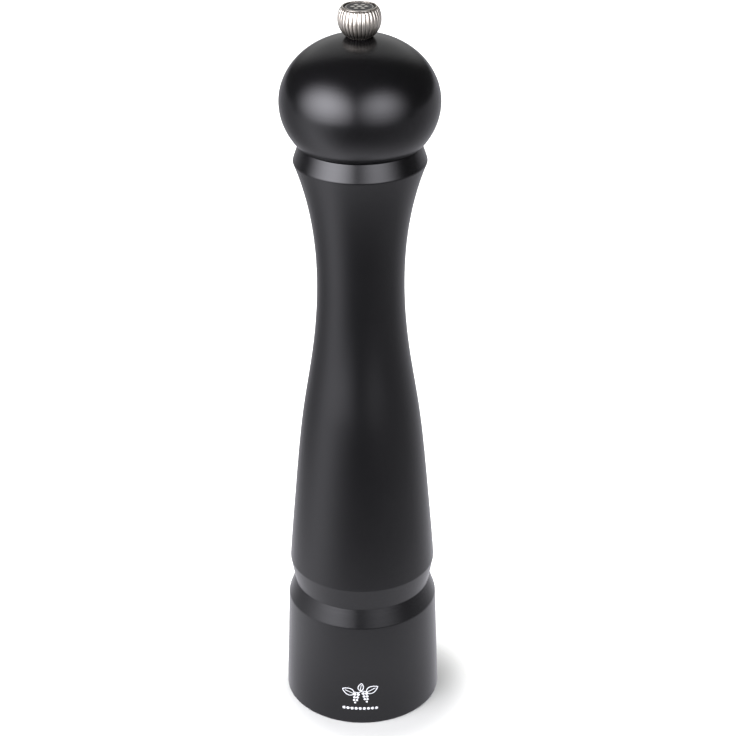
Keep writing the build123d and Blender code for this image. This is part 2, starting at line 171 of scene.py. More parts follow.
def turnedBeech():
    # Steamed beech, turned and sprayed with satin black lacquer; the sockets and the bore stay raw.
    # The lacquer is nearly black and smooth. It softly mirrors the studio, and shows the lathe's fine
    # rings and the faint pores of the wood under it. The attribute "bare" is 1 where the wood is raw.
    look = {
        "lacquer": "#070708", "lacquerThin": "#0a0a0b",
        "lacquerRoughness": (0.20, 0.26), "bareRoughness": 0.62, "ior": 1.46,
        "cloudsPerMetre": 55, "streaksPerMetre": (260, 260, 14),
        "beech": "#cdab84", "beechDark": "#ae8660", "ray": "#97704c",
        "ringSpacing": 0.9,   # the lathe tool's feed, drawn coarser than the real 0.3 mm to show
        "poreLength": 3.0, "poreWidth": 0.22,   # real beech pores are thinner, 0.1 mm
        "poreEdges": (0.30, 0.46), "poreShade": 0.45,
        "sprayGrain": 1.1,    # orange peel of the sprayed coat
        # how strong each relief is, and its height in mm
        "ringRelief": (0.10, 0.15), "sprayRelief": (0.06, 0.05),
        "coatedPores": 0.10, "openPores": 0.55, "poreHeight": 0.05,
    }
    material, tree = newMaterial("turnedBeech")
    position = addNode(tree, "TexCoord").outputs["Object"]
    bare = addNode(tree, "Attribute", attribute_name="bare").outputs["Fac"]
    perMetre = 1 / mm
    ringScale = (12, 12, perMetre / look["ringSpacing"])
    rings = addNode(tree, "Mapping", {"Vector": position, "Scale": ringScale})
    ringNoise = addNode(tree, "TexNoise", {"Vector": rings.outputs[0], "Scale": 1, "Detail": 3,
                                           "Roughness": 0.6})
    across, along = perMetre / look["poreWidth"] / 2, perMetre / look["poreLength"] / 2
    pores = addNode(tree, "Mapping", {"Vector": position, "Scale": (across, across, along)})
    poreNoise = addNode(tree, "TexNoise", {"Vector": pores.outputs[0], "Scale": 1, "Detail": 2})
    deepest, shallowest = look["poreEdges"]
    poreDip = addNode(tree, "MapRange", {"Value": poreNoise.outputs["Fac"],
                                         "From Min": deepest, "From Max": shallowest})
    spray = addNode(tree, "TexNoise", {"Vector": position, "Scale": perMetre / look["sprayGrain"],
                                       "Detail": 2})
    cloud = addNode(tree, "TexNoise", {"Vector": position, "Scale": look["cloudsPerMetre"],
                                       "Detail": 4})
    streaks = addNode(tree, "Mapping", {"Vector": position, "Scale": look["streaksPerMetre"]})
    streakNoise = addNode(tree, "TexNoise", {"Vector": streaks.outputs[0], "Scale": 1, "Detail": 5,
                                             "Distortion": 0.4})
    # Inputs 6 and 7 of a colour Mix are its two colours; 2 and 3 of a plain Mix are its two numbers.
    lacquer = addNode(tree, "Mix", {0: cloud.outputs["Fac"], 6: linearColour(look["lacquer"]),
                                    7: linearColour(look["lacquerThin"])}, data_type="RGBA")
    wood = addNode(tree, "Mix", {0: streakNoise.outputs["Fac"], 6: linearColour(look["beech"]),
                                 7: linearColour(look["beechDark"])}, data_type="RGBA")
    poreShade = addNode(tree, "Math", {0: 1.0, 1: poreDip.outputs[0]}, operation="SUBTRACT")
    poreMask = addNode(tree, "Math", {0: poreShade.outputs[0], 1: look["poreShade"]},
                       operation="MULTIPLY")
    woodPores = addNode(tree, "Mix", {0: poreMask.outputs[0], 6: wood.outputs[2],
                                      7: linearColour(look["ray"])}, data_type="RGBA")
    colour = addNode(tree, "Mix", {0: bare, 6: lacquer.outputs[2], 7: woodPores.outputs[2]},
                     data_type="RGBA")
    smoothest, dullest = look["lacquerRoughness"]
    gloss = addNode(tree, "MapRange", {"Value": cloud.outputs["Fac"],
                                       "To Min": smoothest, "To Max": dullest})
    roughness = addNode(tree, "Mix", {0: bare, 2: gloss.outputs[0], 3: look["bareRoughness"]})
    depth = addNode(tree, "Mix", {0: bare, 2: look["coatedPores"], 3: look["openPores"]})
    strength, distance = look["ringRelief"]
    bumpRings = addNode(tree, "Bump", {"Height": ringNoise.outputs["Fac"], "Strength": strength,
                                       "Distance": distance * mm})
    strength, distance = look["sprayRelief"]
    bumpSpray = addNode(tree, "Bump", {"Height": spray.outputs["Fac"], "Strength": strength,
                                       "Distance": distance * mm, "Normal": bumpRings.outputs[0]})
    bumpPores = addNode(tree, "Bump", {"Height": poreDip.outputs[0], "Strength": depth.outputs[0],
                                       "Distance": look["poreHeight"] * mm,
                                       "Normal": bumpSpray.outputs[0]})
    shader = addNode(tree, "BsdfPrincipled", {
        "Base Color": colour.outputs[2], "Roughness": roughness.outputs[0], "IOR": look["ior"],
        "Normal": bumpPores.outputs[0]})
    addNode(tree, "OutputMaterial", {"Surface": shader.outputs[0]})
    return material


skinHeight = 0.02        # mm, the height of the fine relief on metal, nylon and ink
smudgeEdges = (0.35, 0.7)  # the noise values between which a smudge fades in


def metalFinish(name, look):
    # Metal with a directional surface: lines from drawing, brushing or turning, run along the given
    # lengths, and thin smudges that make patches a little duller. The attribute "marked" mixes in the
    # "marked" colour: on the knob that is painted shade, on the badge it is the rubbed-bright relief.
    material, tree = newMaterial(name)
    position = addNode(tree, "TexCoord").outputs["Object"]
    lineScale = tuple(1 / (mm * size) for size in look["lineSize"])
    lines = addNode(tree, "Mapping", {"Vector": position, "Scale": lineScale})
    lineNoise = addNode(tree, "TexNoise", {"Vector": lines.outputs[0], "Scale": 1, "Detail": 3})
    smudge = addNode(tree, "TexNoise", {"Vector": position, "Scale": 1 / (mm * look["smudgeSize"]),
                                        "Detail": 4})
    blotch = addNode(tree, "MapRange", {"Value": smudge.outputs["Fac"],
                                        "From Min": smudgeEdges[0], "From Max": smudgeEdges[1]})
    colour = addNode(tree, "Mix", {0: blotch.outputs[0], 6: linearColour(look["colour"]),
                                   7: linearColour(look["dull"])}, data_type="RGBA")
    marked = addNode(tree, "Attribute", attribute_name="marked").outputs["Fac"]
    shaded = addNode(tree, "Mix", {0: marked, 6: colour.outputs[2], 7: linearColour(look["marked"])},
                     data_type="RGBA")
    gloss = addNode(tree, "MapRange", {"Value": blotch.outputs[0], "To Min": look["roughness"][0],
                                       "To Max": look["roughness"][1]})
    roughness = addNode(tree, "Mix", {0: marked, 2: gloss.outputs[0], 3: look["markedRoughness"]})
    bump = addNode(tree, "Bump", {"Height": lineNoise.outputs["Fac"], "Strength": look["lineDepth"],
                                  "Distance": skinHeight * mm})
    shader = addNode(tree, "BsdfPrincipled", {
        "Base Color": shaded.outputs[2], "Roughness": roughness.outputs[0], "Metallic": 1.0,
        "Normal": bump.outputs[0]})
    addNode(tree, "OutputMaterial", {"Surface": shader.outputs[0]})
    return material


def plainFinish(name, look):
    # Moulded nylon or printed ink: one hue with a slight mottle, a soft gloss and a fine skin.
    material, tree = newMaterial(name)
    position = addNode(tree, "TexCoord").outputs["Object"]
    mottle = addNode(tree, "TexNoise", {"Vector": position, "Scale": 1 / (mm * look["mottleSize"]),
                                        "Detail": 3})
    colour = addNode(tree, "Mix", {0: mottle.outputs["Fac"], 6: linearColour(look["colour"]),
                                   7: linearColour(look["shade"])}, data_type="RGBA")
    gloss = addNode(tree, "MapRange", {"Value": mottle.outputs["Fac"], "To Min": look["roughness"][0],
                                       "To Max": look["roughness"][1]})
    bump = addNode(tree, "Bump", {"Height": mottle.outputs["Fac"], "Strength": look["depth"],
                                  "Distance": skinHeight * mm})
    shader = addNode(tree, "BsdfPrincipled", {
        "Base Color": colour.outputs[2], "Roughness": gloss.outputs[0], "IOR": look["ior"],
        "Normal": bump.outputs[0]})
    addNode(tree, "OutputMaterial", {"Surface": shader.outputs[0]})
    return material


beech = turnedBeech()
# Nickel-plated turned steel, polished: warm bright metal. Its dark "marked" colour is painted
# shade, in the flutes, in the rim's groove and towards the knob's foot.
nickel = metalFinish("polishedNickel", {
    "colour": "#cfcac1", "dull": "#bab3a8", "marked": "#2a2622",
    "roughness": (0.28, 0.36), "markedRoughness": 0.5,
    "lineSize": (0.9, 0.9, 0.06), "lineDepth": 0.15, "smudgeSize": 3.0})
# Blackened steel badge, stamped and rubbed bright on its relief.
gunmetal = metalFinish("blackenedBadge", {
    "colour": "#313133", "dull": "#1f1f21", "marked": "#dcd9d2",
    "roughness": (0.30, 0.42), "markedRoughness": 0.25,
    "lineSize": (0.12, 0.12, 0.12), "lineDepth": 0.35, "smudgeSize": 1.5})
# Cold-drawn steel bar: grey, with fine lines along its length.
drawnSteel = metalFinish("drawnSteel", {
    "colour": "#b4b4b3", "dull": "#9a9894", "marked": "#5b5853",
    "roughness": (0.24, 0.36), "markedRoughness": 0.45,
    "lineSize": (0.15, 0.15, 14), "lineDepth": 0.25, "smudgeSize": 9})
# Pressed stainless sheet: pale and softly brushed.
pressedSteel = metalFinish("pressedSteel", {
    "colour": "#c3c2bd", "dull": "#aba9a3", "marked": "#6a6862",
    "roughness": (0.28, 0.4), "markedRoughness": 0.5,
    "lineSize": (5.0, 0.2, 5.0), "lineDepth": 0.4, "smudgeSize": 6})
# Case-hardened burr steel: darker and greyer, with a dull oiled skin.
hardenedSteel = metalFinish("hardenedSteel", {
    "colour": "#7f7e7c", "dull": "#5f5d59", "marked": "#3a3835",
    "roughness": (0.34, 0.5), "markedRoughness": 0.6,
    "lineSize": (0.3, 0.3, 0.3), "lineDepth": 0.5, "smudgeSize": 4})
# Bright zinc plate on small fasteners: slightly blue, with a cloudy passivated skin.
zincPlate = metalFinish("zincPlate", {
    "colour": "#c5c8cb", "dull": "#a9a79c", "marked": "#6e6c66",
    "roughness": (0.22, 0.38), "markedRoughness": 0.5,
    "lineSize": (0.25, 0.25, 0.25), "lineDepth": 0.3, "smudgeSize": 1.6})
# Turned brass: yellow, with the lathe's rings round it.
turnedBrass = metalFinish("turnedBrass", {
    "colour": "#d9b66a", "dull": "#b8924b", "marked": "#7a5d2c",
    "roughness": (0.2, 0.34), "markedRoughness": 0.5,
    "lineSize": (3, 3, 0.2), "lineDepth": 0.4, "smudgeSize": 3})
# Moulded natural nylon: ivory and waxy.
nylon = plainFinish("mouldedNylon", {
    "colour": "#e4ddcb", "shade": "#d6cdb8", "roughness": (0.38, 0.5), "ior": 1.53,
    "mottleSize": 2.5, "depth": 0.2})
# Pad-printed white ink on the lacquer: thin, opaque and slightly uneven.
whiteInk = plainFinish("whiteInk", {
    "colour": "#d6d7da", "shade": "#c6c8cc", "roughness": (0.4, 0.55), "ior": 1.5,
    "mottleSize": 0.5, "depth": 0.25})
print("stage: materials")


bodyShape = {
    "foot": (32.4, 30.8, 46.6),          # radius at the bottom, radius at the shoulder, height
    "groove": (28.1, 54.4),
    "flankHeight": (64.4, 96.2, 135.4, 159.8, 190.0, 210.0, 225.4, 240.1),
    "flankRadius": (29.9, 27.25, 23.1, 19.3, 17.15, 18.3, 21.05, 25.6),
    "flankSlopes": (-0.07, 0.38), "flankPoints": 72,
    "rim": (23.3, 247.0), "mouth": (15.0, 235.0), "bore": 12.4,
    "seat": (18.1, 38.0), "recess": (24.5, 8.0),
    # the radius that each corner is rounded to, from the recess up and over to the recess again
    "outsideRounds": (0.4, 0.7, 2.6, 0.5), "bellyRound": 1.6, "collarRound": 1.0,
    "insideRounds": (0.5, 0.4, 0.2, 0.3, 0.3, 0.2, 0.2, 0.2),
    "segments": 192,
}


def woodenBody(shape):
    # A closed outline, up the outside and down through the sockets and the bore, turned round the axis.
    height = np.linspace(shape["flankHeight"][0], shape["flankHeight"][-1], shape["flankPoints"])
    flank = smoothCurve(height, shape["flankHeight"], shape["flankRadius"], *shape["flankSlopes"])
    footBottom, footTop, footHeight = shape["foot"]
    mouth, bore, seat, recess = shape["mouth"], shape["bore"], shape["seat"], shape["recess"]
    outside = [(recess[0], 0), (footBottom, 0), (footTop, footHeight), shape["groove"]]
    inside = [shape["rim"], (mouth[0], shape["rim"][1]), mouth, (bore, mouth[1]), (bore, seat[1]), seat,
              (seat[0], recess[1]), recess]
    corners = np.concatenate([outside, np.stack([flank, height], 1), inside])
    radii = np.concatenate([shape["outsideRounds"], [shape["bellyRound"]], np.zeros(len(height) - 2),
                            [shape["collarRound"]], shape["insideRounds"]])
    outline, source = roundedOutline(corners, radii)
    firstBare = len(corners) - len(inside) + 1  # everything after the rim is raw wood
    bare = (source >= firstBare).astype(float)
    segments = shape["segments"]
    return gridMesh("lacqueredBody", [turnedSurface(outline, segments)],
                    marks={"bare": np.repeat(bare, segments)})


addPiece(woodenBody(bodyShape), "body", "black_lacquered_beech", beech, "wooden_body")


headShape = {
    "radius": 30.4, "centre": 263.3, "crown": 25.3, "skirt": 26.2, "bottom": 247.4,
    "tenon": (14.7, 235.8), "plate": (11.55, 237.3), "glide": (16.95, 20.55, 248.4),
    "bore": 4.05, "ferrule": (4.17, 276.0), "ferruleFlange": (4.55, 287.4),
    "crownFlat": (5.0, 288.15), "ballPoints": 84, "segments": 192,
    # the radius that each corner is rounded to: the tenon and the ring's groove, the ball, the bore
    "belowRounds": (0.15, 0.6, 0.3, 0.2, 0.1, 0.1, 0.2), "skirtRound": 0.6, "crownRound": 0.02,
    "withinRounds": (0.04, 0.1, 0.1, 0.1, 0.1, 0.1, 0.2, 0.1),
}


def woodenHead(shape):
    # The outside is two half ellipses, r = R cos t and z = centre + height sin t, with a taller skirt.
    start = -math.asin((shape["centre"] - shape["bottom"]) / shape["skirt"])
    end = math.acos(shape["crownFlat"][0] / shape["radius"])
    t = np.linspace(start, end, shape["ballPoints"])
    tall = np.where(t < 0, shape["skirt"], shape["crown"])
    ball = np.stack([shape["radius"] * np.cos(t), shape["centre"] + tall * np.sin(t)], 1)
    tenon, plate, glide = shape["tenon"], shape["plate"], shape["glide"]
    flange, ferrule, bore = shape["ferruleFlange"], shape["ferrule"], shape["bore"]
    below = [(plate[0], tenon[1]), tenon, (tenon[0], shape["bottom"]), (glide[0], shape["bottom"]),
             (glide[0], glide[2]), (glide[1], glide[2]), (glide[1], shape["bottom"])]
    flat = shape["crownFlat"]
    within = [flat, (flange[0], flat[1]), flange, (ferrule[0], flange[1]), ferrule, (bore, ferrule[1]),
              (bore, plate[1]), plate]
    corners = np.concatenate([below, ball, within])
    radii = np.concatenate([shape["belowRounds"], [shape["skirtRound"]], np.zeros(len(t) - 2),
                            [shape["crownRound"]], shape["withinRounds"]])
    outline, source = roundedOutline(corners, radii)
    tenonEnd = 3                      # the first corner after the tenon's own
    boreStart = len(corners) - 5      # the first corner inside the ferrule's seat
    bare = (source < tenonEnd) | (source >= boreStart)
    segments = shape["segments"]
    return gridMesh("lacqueredHead", [turnedSurface(outline, segments)],
                    marks={"bare": np.repeat(bare.astype(float), segments)})


addPiece(woodenHead(headShape), "head", "black_lacquered_beech", beech, "wooden_head")
print("stage: wood")


knobShape = {
    "radius": 8.15, "centre": 294.9, "bottom": 288.2, "ribTop": 298.95,
    "flutes": 30, "fluteWidth": 0.15, "fluteDepth": 0.34, "ribRound": 0.10, "shadedFoot": 6.0,
    "rim": 6.7, "groove": 6.45, "lip": (6.5, 299.6), "cup": (6.0, 298.7), "hole": (2.6, 298.0),
    "ballPoints": 40, "perFlute": 14, "gather": 0.11,
    "ribEnd": (-0.22, 0.14), "grooveRise": 0.08, "rimRise": 0.30, "rimBevel": 0.2,
    "underRounds": (0, 0.1, 0.25, 0.15), "ribEndRounds": (0.12, 0.03),
    "topRounds": (0.08, 0.12, 0.08, 0.08, 0.05, 0),
    # painted shade: how dark towards the foot, how that fades, how dark in the flutes, and the painted
    # groove's width
    "paintedFootShade": 0.9, "paintedShadeFade": 1.5, "paintedFluteShade": 0.8, "grooveWidth": 0.1,
}


def flutedKnob(shape):
    # A ball whose radius drops by a narrow bell curve at each flute, and a little on the way to it.
    # A plain rim and a cup for the badge are above it, and the threaded hole comes up from below.
    low = math.asin((shape["bottom"] - shape["centre"]) / shape["radius"])
    high = math.asin((shape["ribTop"] - shape["centre"]) / shape["radius"])
    t = np.linspace(low + 0.03, high, shape["ballPoints"])  # starts just above the flat underside
    ball = np.stack([shape["radius"] * np.cos(t), shape["centre"] + shape["radius"] * np.sin(t)], 1)
    waist = ball[-1]
    rim, lip, cup, hole = shape["rim"], shape["lip"], shape["cup"], shape["hole"]
    ribEnd = [waist + shape["ribEnd"], (shape["groove"], waist[1] + shape["grooveRise"])]
    top = [(rim, waist[1] + shape["rimRise"]), (rim, lip[1] - shape["rimBevel"]), lip,
           (cup[0], lip[1]), cup, (0, cup[1])]
    under = [(0, hole[1]), hole, (hole[0], shape["bottom"]), (ball[0, 0] - 0.1, shape["bottom"])]
    corners = np.concatenate([under, ball, ribEnd, top])
    radii = np.concatenate([shape["underRounds"], np.zeros(len(t)), shape["ribEndRounds"],
                            shape["topRounds"]])
    outline, source = roundedOutline(corners, radii, support=0.06)
    onBall = (source >= len(under)) & (source < len(under) + len(t) + 1)
    share = np.linspace(0, 1, shape["perFlute"], endpoint=False) - 0.5
    pitch = 2 * np.pi / shape["flutes"]
    local = share - shape["gather"] * np.sin(2 * np.pi * share)  # columns gather at the flute's middle
    angle = (np.arange(shape["flutes"])[:, None] * pitch + local * pitch).ravel()
    across = np.tile(local * pitch, shape["flutes"]) * shape["radius"]
    dip = np.exp(-(across / shape["fluteWidth"]) ** 2)
    rib = np.cos(np.tile(local, shape["flutes"]) * 2 * np.pi) * 0.5 + 0.5
    height = outline[:, 1]
    cut = onBall[:, None] * (shape["fluteDepth"] * dip + shape["ribRound"] * rib)
    radius = outline[:, :1] - cut
    level = height[:, None] + 0 * angle
    points = np.stack([radius * np.cos(angle), radius * np.sin(angle), level], -1)
    # Painted shade: the metal is darkened towards the foot, down the middle of each flute and in the
    # rim's groove.
    nearFoot = np.clip(1 - (height - shape["bottom"]) / shape["shadedFoot"], 0, 1)
    paintedFootShade = shape["paintedFootShade"] * nearFoot ** shape["paintedShadeFade"]
    inGroove = np.abs(outline[:, 0] - shape["groove"]) < shape["grooveWidth"]
    groove = 1.0 * inGroove * (height < lip[1] - 0.5)  # not the lip, which is as wide
    paintedFluteShade = shape["paintedFluteShade"] * onBall[:, None] * dip
    marked = np.clip(paintedFluteShade + (paintedFootShade + groove)[:, None], 0, 1)
    return gridMesh("flutedKnob", [points], loopAlong=False, marks={"marked": marked})


badgeShape = {
    "radius": 5.95, "floor": 298.7, "edge": 299.15, "top": 299.35,
    "berries": 6, "berryRing": 2.5, "berryRadius": 0.95, "centreBerry": 1.2, "relief": 0.17,
    "borderAt": 5.0, "borderWidth": 0.22, "borderRelief": 0.8, "rings": 74, "segments": 180,
    "rimStep": (0.12, 0.03), "edgeBevel": 0.06,   # the last rings' distance in, and the bevel
}


def knobBadge(shape):
    # A disc whose top is a shallow crown plus relief: berry domes, one in the middle and a ring of
    # them, inside a thin raised border. A dome's height is sqrt(1 - (distance / its radius)^2).
    radius, (inner, outer) = shape["radius"], shape["rimStep"]
    r = np.concatenate([np.linspace(0, radius - inner, shape["rings"]), [radius - outer]])
    angle = np.linspace(0, 2 * np.pi, shape["segments"], endpoint=False)
    x, y = r[:, None] * np.cos(angle), r[:, None] * np.sin(angle)
    relief = np.sqrt(np.clip(1 - (x ** 2 + y ** 2) / shape["centreBerry"] ** 2, 0, 1))
    for k in range(shape["berries"]):
        turn = 2 * np.pi * k / shape["berries"]
        east, north = shape["berryRing"] * np.cos(turn), shape["berryRing"] * np.sin(turn)
        gap = (x - east) ** 2 + (y - north) ** 2
        relief = np.maximum(relief, np.sqrt(np.clip(1 - gap / shape["berryRadius"] ** 2, 0, 1)))
    fromBorder = np.abs(r[:, None] - shape["borderAt"]) / shape["borderWidth"]
    border = np.clip(1 - fromBorder, 0, 1) + 0 * angle
    relief = np.maximum(relief, np.minimum(border * 2, 1) * shape["borderRelief"])
    crown = (shape["top"] - shape["edge"]) * (1 - (r[:, None] / radius) ** 2)
    z = shape["edge"] + crown + shape["relief"] * relief
    upper = np.stack([x, y, z], -1)
    edge = np.stack([np.full(2, radius), [shape["edge"] - shape["edgeBevel"], shape["floor"]]], 1)
    lower = turnedSurface(np.concatenate([edge, [(0, shape["floor"])]]), len(angle))
    points = np.concatenate([upper, lower])
    marked = np.concatenate([np.clip(relief * 1.2 - 0.2, 0, 1), np.zeros(lower.shape[:2])])
    return gridMesh("knobBadge", [points], loopAlong=False, marks={"marked": marked})


addPiece(flutedKnob(knobShape), "knob", "polished_nickel", nickel, "grind_knob")
addPiece(knobBadge(badgeShape), "knob", "dark_badge", gunmetal, "knob_badge")
print("stage: knob")


shaftShape = {
    "halfWidth": 2.5, "cornerSharpness": 14, "studRadius": 2.0, "threadRadius": 2.45,
    "pitch": 0.8, "threadDepth": 0.42, "stepsPerTurn": 8, "endChamfer": (0.5, 0.6), "relief": 0.4,
    "bottom": 2.6, "squareFrom": 9.4, "squareTo": 284.0, "top": 296.4, "shoulder": 0.86,
    "segments": 96,
}


def driveShaft(shape):
    # Round, square and round again. The square's radius is half width / (|cos|^n + |sin|^n)^(1/n).
    # On the round ends a helical V thread cuts in: its phase is height / pitch less the angle in turns.
    angle = np.linspace(0, 2 * np.pi, shape["segments"], endpoint=False)
    n = shape["cornerSharpness"]
    square = shape["halfWidth"] / (np.abs(np.cos(angle)) ** n + np.abs(np.sin(angle)) ** n) ** (1 / n)

    def thread(bottom, top, radius):
        z = np.arange(bottom, top, shape["pitch"] / shape["stepsPerTurn"])[:, None]
        phase = (z / shape["pitch"] - angle / (2 * np.pi)) % 1
        depth = shape["threadDepth"] * np.clip(1.25 * (1 - np.abs(2 * phase - 1)) - 0.1, 0, 1)
        chamferDepth, chamferLength = shape["endChamfer"]
        end = chamferDepth * np.clip(1 - np.minimum(z - bottom, top - z) / chamferLength, 0, 1)
        return radius - np.maximum(depth, end), z + 0 * angle

    relief, shoulder = shape["relief"], shape["shoulder"]
    lowRadius, lowZ = thread(shape["bottom"], shape["squareFrom"] - relief, shape["studRadius"])
    highRadius, highZ = thread(shape["squareTo"] + relief, shape["top"], shape["threadRadius"])
    fromEnd = np.array([0, 0.3, 1])  # the square's corners grow to full size in its first 0.3 mm
    levels = np.concatenate([shape["squareFrom"] + fromEnd, shape["squareTo"] - fromEnd[::-1]])[:, None]
    size = np.array([shoulder, 1, 1, 1, 1, shoulder])[:, None]
    radius = np.concatenate([0 * lowRadius[:1], lowRadius, size * square, highRadius,
                             0 * highRadius[:1]])
    z = np.concatenate([lowZ[:1], lowZ, levels + 0 * angle, highZ, highZ[-1:]])
    points = np.stack([radius * np.cos(angle), radius * np.sin(angle), z], -1)
    return gridMesh("driveShaft", [points], loopAlong=False)


springShape = {
    "mean": 4.6, "wire": 0.45, "bottom": 24.82, "top": 32.88, "turns": 5.0, "closedEnd": 0.16,
    "steps": 48, "section": 14,
}


def burrSpring(shape):
    # A round section carried along a helix: x = mean cos a, y = mean sin a. The height rises evenly
    # between the end turns, which lie flat and are closed, and the wire is closed to a point at each end.
    count = int(shape["turns"] * shape["steps"])
    t = np.linspace(0, 1, count)
    low, high = shape["bottom"] + shape["wire"], shape["top"] - shape["wire"]
    ease = np.clip((t - shape["closedEnd"]) / (1 - 2 * shape["closedEnd"]), 0, 1)
    height = low + (high - low) * ease
    turn = t * shape["turns"] * 2 * np.pi
    path = np.stack([shape["mean"] * np.cos(turn), shape["mean"] * np.sin(turn), height], 1)
    outward = np.stack([np.cos(turn), np.sin(turn), 0 * turn], 1)
    along = np.gradient(path, axis=0)
    along /= np.linalg.norm(along, axis=1, keepdims=True)
    upward = np.cross(along, outward)
    around = np.linspace(0, 2 * np.pi, shape["section"], endpoint=False)[None, :, None]
    wire = np.full(count, shape["wire"])
    wire[[0, -1]] = 0
    ring = np.cos(around) * outward[:, None] + np.sin(around) * upward[:, None]
    points = path[:, None] + wire[:, None, None] * ring
    return gridMesh("burrSpring", [points], loopAlong=False)


# Drawn spring wire: grey, with a slight straw tint from tempering.
springSteel = metalFinish("springSteel", {
    "colour": "#a9a49b", "dull": "#8d877c", "marked": "#555048",
    "roughness": (0.25, 0.4), "markedRoughness": 0.5,
    "lineSize": (0.4, 0.4, 0.1), "lineDepth": 0.3, "smudgeSize": 2})
addPiece(driveShaft(shaftShape), "shaft", "drawn_steel", drawnSteel, "drive_shaft")
spring = addPiece(burrSpring(springShape), "spring_seat", "spring_steel", springSteel, "burr_spring")
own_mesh(spring)
print("stage: shaft and spring")


markShape = {
    "across": -1.0, "bottom": 6.9, "lift": 0.03, "thickness": 0.03,
    "line": 0.36, "corns": 9, "cornRadius": 0.66, "cornSpacing": 1.72,
    "leaves": ((-5.0, 9.0, 5.2, 3.2, 158), (5.0, 10.0, 5.2, 3.2, 28), (0.3, 11.4, 3.6, 2.2, 80)),
    # each leaf: across, up, length, width, tilt; each spike: across, up, rows of berries, lean
    "spikes": ((-1.5, 8.3, 3, -0.16), (2.0, 8.8, 3, 0.18)),
    "berry": 0.64, "berrySpacing": 1.55, "berryApart": 0.72, "shrink": 0.1, "hang": 0.6,
    "stem": (3.0, 9.0, 0.13, 0.25, 1.6),   # half its length, height, slope, wave's height, waves
}


def printedMark(shape):
    # A line drawing of a pepper vine over a row of peppercorns, laid on the foot and bent round it:
    # x = r sin(u / r), y = -r cos(u / r), where u is the distance across and r the foot's radius there.
    drawn = []
    t = np.linspace(0, 2 * np.pi, 33)

    def stroke(u, v, width):  # a ribbon along the path, built from its left side to its right
        path = np.stack([u, v], 1)
        along = np.gradient(path, axis=0)
        along /= np.linalg.norm(along, axis=1, keepdims=True)
        side = np.stack([along[:, 1], -along[:, 0]], 1) * width / 2
        drawn.append(np.stack([path - side, path + side], 1))

    def dot(u, v, radius):  # rings from the rim to the middle
        ring = np.array([1.0, 0.5, 0.0])[:, None] * radius
        drawn.append(np.stack([u + ring * np.cos(t), v + ring * np.sin(t)], -1))

    def leaf(u, v, length, width, tilt):  # a pointed oval, widest nearer its stalk, with a midrib
        c, s = math.cos(math.radians(tilt)), math.sin(math.radians(tilt))
        x = length / 2 * np.cos(t)
        y = width / 2 * np.sin(t) * np.abs(np.sin(t)) ** 0.4 * (1 - 0.3 * np.cos(t))
        stroke(u + x * c - y * s, v + x * s + y * c, shape["line"])
        x = np.linspace(-0.5, 0.3, 6) * length
        stroke(u + x * c, v + x * s, shape["line"] * 0.8)

    for k in range(shape["corns"]):
        u = (k - (shape["corns"] - 1) / 2) * shape["cornSpacing"]
        dot(u, shape["cornRadius"], shape["cornRadius"])
    reach, level, slope, wave, waves = shape["stem"]
    x = np.linspace(-reach, reach, 24)
    stroke(x, level + slope * x + wave * np.sin(waves * x), shape["line"])
    for u, top, rows, lean in shape["spikes"]:
        for row in range(rows):  # the berries shrink down the spike, and one ends it
            size = 1 - shape["shrink"] * row
            drop = shape["berrySpacing"] * row * (1 - 0.04 * row)
            middle, level = u + lean * drop, top - shape["hang"] - drop
            for side in (-1, 1):
                dot(middle + side * shape["berryApart"] * size, level, shape["berry"] * size)
        drop = shape["berrySpacing"] * rows * 0.88
        dot(u + lean * drop, top - shape["hang"] - drop, shape["berry"] * 0.7)
    for each in shape["leaves"]:
        leaf(*each)
    grids = []
    for points in drawn:
        u, v = points[..., 0] + shape["across"], points[..., 1] + shape["bottom"]
        foot = bodyShape["foot"]
        r = foot[0] + (foot[1] - foot[0]) * v / foot[2] + shape["lift"]
        grids.append(np.stack([r * np.sin(u / r), -r * np.cos(u / r), v], -1))
    return gridMesh("printedMark", grids, loopAlong=False, loopRound=False)


mark = addPiece(printedMark(markShape), "body", None, whiteInk)
solid = mark.modifiers.new("thickness", "SOLIDIFY")
solid.thickness = markShape["thickness"] * mm
solid.offset = -1


keptFinishes = {
    "burr_housing": pressedSteel, "bridge_plate": pressedSteel, "head_ferrule": pressedSteel,
    "drive_plate": pressedSteel, "outer_burr": hardenedSteel, "inner_burr": hardenedSteel,
    "burr_retaining_ring": springSteel, "shaft_bush": turnedBrass, "glide_ring": nylon,
    "bridge_rivets": zincPlate, "housing_screws": zincPlate, "upper_spring_seat": zincPlate,
    "lower_spring_seat": zincPlate, "burr_washer": zincPlate, "burr_nut": zincPlate,
    "drive_plate_screws": zincPlate,
}
for node, finish in keptFinishes.items():
    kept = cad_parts[node]
    kept.data.materials.clear()
    kept.data.materials.append(finish)
print("stage: kept parts")


